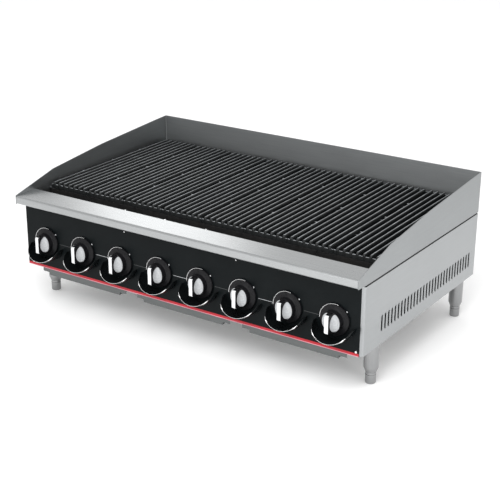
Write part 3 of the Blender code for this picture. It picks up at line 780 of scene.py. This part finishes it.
def guard(name, centre):
    """The half-round hood that stands out of the panel under a knob."""
    around = 56
    outward = 8
    turns = [GUARD_SPREAD * (2 * k / around - 1) for k in range(around + 1)]
    shape = bmesh.new()
    rows = []
    for row in range(outward + 1):
        rows.append([shape.verts.new(guard_point(centre, turn, row / outward)) for turn in turns])
    for near, far in zip(rows, rows[1:]):
        for k in range(around):
            shape.faces.new((near[k], near[k + 1], far[k + 1], far[k]))
    obj = mesh_object(name, shape)
    solid = obj.modifiers.new("thickness", "SOLIDIFY")
    solid.thickness = GUARD_THICK
    solid.offset = 0.0
    soften(obj, 0.0007, 2, 50.0)
    place(obj, GUARD_BLACK, ROOT, smooth=40.0)


def guard_lip_highlight(name, centre):
    """A bright tube along the guard's lip that paints its highlight, thick at both shoulders and thin below.
    """
    points = []
    radii = []
    steps = 72
    for step in range(steps + 1):
        degrees = GLINT_SPREAD * (2 * step / steps - 1)
        point = guard_point(centre, math.radians(degrees), 1.0)
        point.y += 0.0003
        points.append(point)
        shoulder = math.exp(-((abs(degrees) - GLINT_SHOULDER) / GLINT_SHOULDER_W) ** 2)
        radii.append(GLINT_THIN + GLINT_SWELL * shoulder)
    obj = tube(name, points, radii, 8)
    place(obj, HIGHLIGHT_SILVER, ROOT, smooth=60.0)


for number, (_, centre) in enumerate(KNOBS, 1):
    guard("guard_%d" % number, centre)
    guard_lip_highlight("guard_trim_%d" % number, centre)


PRINT_STAND = 0.00025
PRINT_ROOT = 0.0004


def flat_mark(name, low, high, look):
    """A printed bar between two corners, as (x, z)."""
    section = box_outline((FRONT_Y - PRINT_STAND, low[1]), (FRONT_Y + PRINT_ROOT, high[1]))
    place(prism(name, section, "X", low[0], high[0]), look, ROOT)


def flat_dot(name, x, z, radius, look):
    """A printed round dot."""
    rim = [(x + across, z + up) for across, up in circle(radius, 20)]
    dot = prism(name, rim, "Y", FRONT_Y - PRINT_STAND, FRONT_Y + PRINT_ROOT)
    place(dot, look, ROOT)


DOT_RIGHT = 0.0345
DOT_UP = 0.0290
DOT_RADIUS = 0.0021
LINE_HALF_H = 0.0006
LINE_START = 0.050
LINE_END = PITCH - 0.052

for number, (_, centre) in enumerate(KNOBS, 1):
    flat_dot("dial_dot_%d" % number, centre.x + DOT_RIGHT, centre.z + DOT_UP, DOT_RADIUS, PRINT_WHITE)
    if number < BURNERS:
        look = PRINT_PALE if number % 2 == 0 else PRINT_FAINT
        flat_mark("dial_line_%d" % number, (centre.x + LINE_START, centre.z - LINE_HALF_H),
                  (centre.x + LINE_END, centre.z + LINE_HALF_H), look)

TO_FRONT = (0.0, -1.0, 0.0)
UPWARD = (0.0, 0.0, 1.0)
SCREW_Y = FRONT_Y - 0.0004
LOW_SCREW_Z = 0.1290
TOP_SCREW_Z = 0.3065
RAIL_SCREW_Y = RAIL_HIGH.y - 0.0035

for tag, x in (("left", -0.5875), ("right", 0.5875)):
    screw_head("panel_screw_" + tag, (x, SCREW_Y, LOW_SCREW_Z), TO_FRONT, 0.0036)
for number, x in enumerate((-0.2067, 0.1974), 1):
    screw_head("panel_top_screw_%d" % number, (x, SCREW_Y, TOP_SCREW_Z), TO_FRONT, 0.0021)
for number, x in enumerate((-0.2369, -0.0850, 0.0631), 1):
    screw_head("rail_screw_%d" % number, (x, RAIL_SCREW_Y, RAIL_HIGH.z), UPWARD, 0.0030)


# ---------------------------------------------------------------- knobs
def knob_frame(centre):
    """Local X to the right, Y up and Z out of the panel."""
    return Matrix.Translation(centre) @ Matrix.Rotation(math.pi / 2, 4, "X")


def knob_skirt():
    """The dished disc under the grip, with the hub and the stem, turned about the knob's axis."""
    hub = [(0.0, 0.0215), (0.020, 0.0215), (0.0262, 0.0228), (0.0280, 0.0245), (0.0290, 0.0240),
           (0.0292, 0.0225), (0.0296, 0.0150), (0.0306, 0.0102), (0.0330, 0.0088)]
    rim = [(0.0420, 0.0080), (0.0445, 0.0074), (0.0455, 0.0060), (0.0457, 0.0035), (0.0450, 0.0014)]
    stem = [(0.0430, 0.0012), (0.0043, 0.0012), (0.0043, -0.0290), (0.0038, -0.0300), (0.0, -0.0300)]
    return turned("knob_skirt", hub + rim + stem, 72)


BAR_HALF_W = 0.0063
GRIP_HALF_L = 0.0266
GRIP_RIM = 0.0278
GRIP_TAPER = 0.94
BAR_SHOULDER_Z = 0.040
BAR_END = 0.88
BAR_END_DROP = 0.0030


def knob_grip():
    """The bar across the hub, flaring into a shallow scoop on each side."""
    # Half of a section across the middle, from the bar's top down to the scoop's rim.
    flare = [(0.0055, 0.0496), (0.0062, 0.0485), (0.0067, 0.0440), (0.0076, 0.0385), (0.0092, 0.0335),
             (0.0118, 0.0292), (0.0152, 0.0262), (0.0195, 0.0244), (0.0240, 0.0240), (0.0268, 0.0250),
             (0.0277, 0.0247), (0.0274, 0.0200)]
    shape = bmesh.new()
    sections = []
    stations = 26
    for step in range(stations + 1):
        y = GRIP_HALF_L * (2 * step / stations - 1)
        reach = math.sqrt(GRIP_RIM ** 2 - (GRIP_TAPER * y) ** 2)
        share = (reach - BAR_HALF_W) / (GRIP_RIM - BAR_HALF_W)
        past_end = max(0.0, (abs(y) / GRIP_HALF_L - BAR_END) / (1.0 - BAR_END))
        drop = BAR_END_DROP * past_end ** 2
        half = []
        for x, z in flare:
            if x > BAR_HALF_W:
                x = BAR_HALF_W + (x - BAR_HALF_W) * share
            if z > BAR_SHOULDER_Z:
                z -= drop
            half.append((x, z))
        sections.append([(x, y, z) for x, z in half] + [(-x, y, z) for x, z in reversed(half)])
    rings = loft(shape, sections, close_ends=False)
    shape.faces.new(rings[0])
    shape.faces.new(rings[-1][::-1])
    bmesh.ops.recalc_face_normals(shape, faces=shape.faces)
    return mesh_object("knob_grip", shape)


ARC_RADIUS = 0.0457
ARC_HEIGHT = 0.0058
ARC_START = 76
ARC_SWEEP = 106
ARC_THIN = 0.0006
ARC_SWELL = 0.0004


def knob_rim_highlight():
    """A painted highlight on the skirt's rim, from nine o'clock to just past twelve."""
    points = []
    radii = []
    steps = 32
    for step in range(steps + 1):
        share = step / steps
        turn = math.radians(ARC_START + ARC_SWEEP * share)
        points.append(Vector((ARC_RADIUS * math.cos(turn), ARC_RADIUS * math.sin(turn), ARC_HEIGHT)))
        radii.append(ARC_THIN + ARC_SWELL * share)
    return tube("knob_rim_highlight", points, radii, 8)


# Each part's source, look, whether it stands for the knob's node, and its smoothing angle.
knob_parts = (
    (knob_skirt(), KNOB_BLACK, True, 32.0),
    (knob_grip(), KNOB_TWO_TONE, False, 50.0),
    (knob_rim_highlight(), HIGHLIGHT_SILVER, False, 60.0),
)
for number, (knob_name, centre) in enumerate(KNOBS, 1):
    for source, look, stands_for_node, smooth in knob_parts:
        obj = copied(source, "%s_%d" % (source.name, number))
        obj.matrix_world = knob_frame(centre)
        nodes = (knob_name,) if stands_for_node else ()
        place(obj, look, knob_name, nodes, smooth)
for source, *_ in knob_parts:
    bpy.data.objects.remove(source, do_unlink=True)


# ---------------------------------------------------------------- grates
GRATE_LOW, GRATE_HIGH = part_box("grate_1")
GRATE_W = GRATE_HIGH.x - GRATE_LOW.x
GRATE_L = 0.6009
GRATE_FRONT_Y = FRONT_Y + 0.106
GRATE_FRONT_Z = 0.367
GRATE_RISE = math.atan2(0.009, 0.601)
BAR_PITCH = 0.0206
BAR_H = 0.0208
BARS = 7
# The inner ribs' places, as shares of the length, and where all ribs end below.
RIBS = (0.243, 0.490, 0.730)
RIB_FOOT = -0.0206


def grate_bars(shape):
    """Seven narrow bars with swollen front ends, each lofted from its front to its back."""
    half = [(0.0048, -BAR_H), (0.0042, -0.0100), (0.0034, -0.0030), (0.0024, -0.0008), (0.0010, 0.0)]
    bar = half + [(-x, z) for x, z in reversed(half)]
    # Along the bar: the distance from its end, how far its top is lowered and how wide the top is.
    front_end = [(0.0, 0.0062, 0.75), (0.0008, 0.0030, 0.98), (0.0022, 0.0010, 1.18), (0.0045, 0.0, 1.30),
                 (0.0080, 0.0001, 1.24), (0.0115, 0.0007, 1.04), (0.0160, 0.0, 1.0)]
    back_end = [(0.0, 0.0062, 0.75), (0.0012, 0.0030, 0.90), (0.0040, 0.0010, 1.0), (0.0090, 0.0, 1.0)]
    stations = front_end + [(GRATE_L * k / 8, 0.0, 1.0) for k in range(1, 8)]
    stations += [(GRATE_L - y, drop, wide) for y, drop, wide in reversed(back_end)]
    for index in range(BARS):
        centre_x = (index - (BARS - 1) / 2) * BAR_PITCH
        sections = []
        for y, drop, wide in stations:
            ring = []
            for x, z in bar:
                height = 1.0 + z / BAR_H
                spread = 1.0 + (wide - 1.0) * height
                ring.append((centre_x + x * spread, y, z - drop * height))
            sections.append(ring)
        loft(shape, sections)


def grate_ribs(shape):
    """Five low ribs that tie the bars, and a lug at the left end of each of the inner three."""
    half = GRATE_W / 2 - 0.0004
    # Each rib: its place along the grate, half its thickness and its top.
    ribs = [(0.0036, 0.0034, -0.0085)]
    ribs += [(GRATE_L * share, 0.0040, -0.0120) for share in RIBS]
    ribs.append((GRATE_L - 0.0045, 0.0042, -0.0070))
    for y, thick, top in ribs:
        section = [(y - thick, RIB_FOOT), (y + thick, RIB_FOOT), (y + thick * 0.8, top - 0.001),
                   (y + thick * 0.45, top), (y - thick * 0.45, top), (y - thick * 0.8, top - 0.001)]
        loft(shape, [[(x, py, pz) for py, pz in section] for x in (-half, half)])
    lug_back = [(0.0034, -0.0150), (0.0032, -0.0012), (0.0018, -0.0002)]
    lug = lug_back + [(-y, z) for y, z in reversed(lug_back)]
    lug_x = 0.0075 - half
    lug_half_w = 0.0036
    for share in RIBS:
        y = GRATE_L * share
        loft(shape, [[(x, y + py, pz) for py, pz in lug] for x in (lug_x - lug_half_w, lug_x + lug_half_w)])


def grate():
    """One casting; local Y runs back from its front end and Z is 0 at its top."""
    shape = bmesh.new()
    grate_bars(shape)
    grate_ribs(shape)
    bmesh.ops.recalc_face_normals(shape, faces=shape.faces)
    return mesh_object("grate_source", shape)


grate_source = grate()
for number in range(1, BURNERS + 1):
    node = "grate_%d" % number
    low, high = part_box(node)
    obj = copied(grate_source, "grate_casting_%d" % number)
    obj.matrix_world = (Matrix.Translation(((low.x + high.x) / 2, GRATE_FRONT_Y, GRATE_FRONT_Z))
                        @ Matrix.Rotation(GRATE_RISE, 4, "X"))
    soften(obj, 0.0006, 1, 45.0)
    place(obj, IRON_GRATE, node, (node,), 40.0)
bpy.data.objects.remove(grate_source, do_unlink=True)


# ---------------------------------------------------------------- trays
TRAYS = 3
TRAY_LIP_LOW = 0.100
TRAY_FLANGE_LOW = 0.110
TRAY_PAN_HALF_W = 0.145
TRAY_METAL = 0.0015
TRAY_WALL = 0.0016
TRAY_BEND = 0.0025
TRAY_END_GAP = 0.0012


def tray(number):
    """A pan with rolled side flanges, and a front whose lip is wider than the pan."""
    node = "drip_tray_%d" % number
    low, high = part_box(node)
    x = (low.x + high.x) / 2
    flange = (high.x - low.x) / 2
    pan = TRAY_PAN_HALF_W
    floor_z = low.z + TRAY_METAL
    outline = [(x - flange, TRAY_FLANGE_LOW), (x - flange, high.z), (x - pan, high.z), (x - pan, floor_z),
               (x + pan, floor_z), (x + pan, high.z), (x + flange, high.z), (x + flange, TRAY_FLANGE_LOW)]
    bent = rounded(outline, TRAY_BEND)
    start = low.y + TRAY_END_GAP
    end = high.y - TRAY_END_GAP
    body = sheet("tray_pan_%d" % number, bent[::-1], "Y", start, end, TRAY_METAL)
    place(body, STEEL_TRAY_SHADED, node, (node,))
    wall = pan + TRAY_METAL
    lip_z = high.z - 0.003
    front = [(x - flange, TRAY_LIP_LOW), (x - wall, TRAY_LIP_LOW), (x - wall, low.z), (x + wall, low.z),
             (x + wall, TRAY_LIP_LOW), (x + flange, TRAY_LIP_LOW), (x + flange, lip_z), (x - flange, lip_z)]
    back = box_outline((x - wall, low.z), (x + wall, high.z))
    for tag, section, start, end in (("front", front, low.y, low.y + TRAY_WALL),
                                     ("back", back, high.y - TRAY_WALL, high.y)):
        plate = prism("tray_%s_%d" % (tag, number), section, "Y", start, end, 0.0004, 1)
        place(plate, STEEL_TRAY_SHADED, node)


for number in range(1, TRAYS + 1):
    tray(number)


# ---------------------------------------------------------------- legs and feet
SOCKET_RADIUS = 0.0062
SOCKET_TOP = 0.1000


def leg(corner, low, high):
    """The turned leg tube, which narrows to its foot and is bored for the foot's stud."""
    radius = (high.x - low.x) / 2
    obj = turned(corner + "_leg_tube", [
        (0.0, high.z), (radius - 0.0008, high.z), (radius, high.z - 0.0008), (radius, 0.0500),
        (radius - 0.0006, 0.0465), (radius - 0.0030, 0.0415), (0.0172, 0.0375), (0.0166, 0.0362),
        (0.0152, 0.0360), (SOCKET_RADIUS, 0.0360), (SOCKET_RADIUS, SOCKET_TOP), (0.0, SOCKET_TOP)], 56)
    obj.location = ((low.x + high.x) / 2, (low.y + high.y) / 2, 0.0)
    place(obj, STEEL_LEG, ROOT, (corner + "_leg",), 32.0)


def foot(corner, low, high):
    """The screw-in foot, centred under its leg: its stud and a grooved collar."""
    obj = turned(corner + "_foot_pad", [
        (0.0, 0.0918), (0.0045, 0.0918), (0.0057, 0.0905), (0.0057, 0.0357), (0.0148, 0.0357),
        (0.0155, 0.0350), (0.0155, 0.0290), (0.0146, 0.0284), (0.0146, 0.0274), (0.0155, 0.0268),
        (0.0155, 0.0030), (0.0147, 0.0008), (0.0132, 0.0), (0.0, 0.0)], 48)
    obj.location = ((low.x + high.x) / 2, (low.y + high.y) / 2, 0.0)
    place(obj, STEEL_LEG, corner + "_foot", (corner + "_foot",), 32.0)


for corner in ("front_left", "front_right", "rear_left", "rear_right"):
    low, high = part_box(corner + "_leg")
    leg(corner, low, high)
    foot(corner, low, high)


# ---------------------------------------------------------------- CAD nodes that stay as they are
CARRIED = {"base_frame": STEEL_DARK, "firebox": STEEL_DARK, "grease_trough": STEEL_TROUGH_SHADED,
           "gas_inlet_pipe": STEEL_DARK, "gas_manifold": BRASS, "pilot_tube": BRASS}
for number in range(1, BURNERS + 1):
    CARRIED["radiant_%d" % number] = IRON_BELOW
    CARRIED["burner_%d" % number] = IRON_BELOW
for node, look in CARRIED.items():
    obj = frame["nodes"][node]
    obj.data.materials.clear()
    obj.data.materials.append(look)


# ---------------------------------------------------------------- floor, light and camera
FLOOR_HALF = 60.0
FLOOR_GLOW = 0.13


def floor():
    """A wide, nearly white floor that gives off a little light, so that only contact shadows stay."""
    look = Look("floor_white", (0.93, 0.93, 0.93), 0.75)
    grain = look.ramp(look.noise(3.0, detail=2.0), 0.3, 0.7, 0.0, 1.0)
    look.colour(look.mix(grain, (0.925, 0.925, 0.925), (0.935, 0.935, 0.935)))
    look.shader.inputs["Emission Color"].default_value = (1.0, 1.0, 1.0, 1.0)
    look.shader.inputs["Emission Strength"].default_value = FLOOR_GLOW
    shape = bmesh.new()
    edge = box_outline((-FLOOR_HALF, -FLOOR_HALF), (FLOOR_HALF, FLOOR_HALF))
    shape.faces.new([shape.verts.new((x, y, 0.0)) for x, y in edge])
    obj = mesh_object("floor", shape)
    obj.data.materials.append(look.material)


floor()


def softbox(name, place_at, aim, size, power):
    """A rectangular area light, hidden from the camera, that faces the point aimed at."""
    data = bpy.data.lights.new(name, "AREA")
    data.shape = "RECTANGLE"
    data.size, data.size_y = size
    data.energy = power
    obj = bpy.data.objects.new(name, data)
    bpy.context.scene.collection.objects.link(obj)
    ahead = (Vector(aim) - Vector(place_at)).normalized()
    obj.matrix_world = Matrix.Translation(place_at) @ ahead.to_track_quat("-Z", "Y").to_matrix().to_4x4()
    obj.visible_camera = False


softbox("key", (0.7, -1.9, 2.5), (0.0, 0.0, 0.2), (1.8, 1.8), 48.0)
softbox("front_fill", (0.4, -3.4, 0.9), (0.0, 0.0, 0.1), (3.0, 1.0), 22.0)
softbox("strip_right", (2.9, -1.3, 0.7), (0.55, -0.2, 0.1), (0.3, 1.4), 12.0)
softbox("rail_light", (-3.57, 3.93, 2.71), (-0.061, -0.33, 0.356), (1.2, 1.0), 10.0)

world = bpy.data.worlds.new("studio")
world.use_nodes = True
bpy.context.scene.world = world
backdrop = world.node_tree.nodes["Background"]
backdrop.inputs["Color"].default_value = (1.0, 1.0, 1.0, 1.0)
backdrop.inputs["Strength"].default_value = 0.93

# Plain colours, without a film-like tone curve.
view = bpy.context.scene.view_settings
view.view_transform = "Standard"
view.look = "None"

CAMERA_AT = (1.8873, -2.7917, 1.4702)
CAMERA_AZIMUTH = math.radians(33.7606)
CAMERA_ELEVATION = math.radians(20.8064)
CAMERA_ROLL = math.radians(0.4193)
CAMERA_LENS = 82.43


def camera():
    """A camera that looks down at the front and the right side."""
    level = math.cos(CAMERA_ELEVATION)
    back = Vector((math.sin(CAMERA_AZIMUTH) * level, -math.cos(CAMERA_AZIMUTH) * level,
                   math.sin(CAMERA_ELEVATION)))
    right = Vector((0.0, 0.0, 1.0)).cross(back).normalized()
    up = back.cross(right)
    turned_right = right * math.cos(CAMERA_ROLL) + up * math.sin(CAMERA_ROLL)
    turned_up = up * math.cos(CAMERA_ROLL) - right * math.sin(CAMERA_ROLL)
    data = bpy.data.cameras.new("camera")
    data.lens = CAMERA_LENS
    data.sensor_width = 36.0
    data.clip_end = 200.0
    obj = bpy.data.objects.new("camera", data)
    bpy.context.scene.collection.objects.link(obj)
    turn = Matrix((turned_right, turned_up, back)).transposed().to_4x4()
    obj.matrix_world = Matrix.Translation(CAMERA_AT) @ turn
    bpy.context.scene.camera = obj


camera()
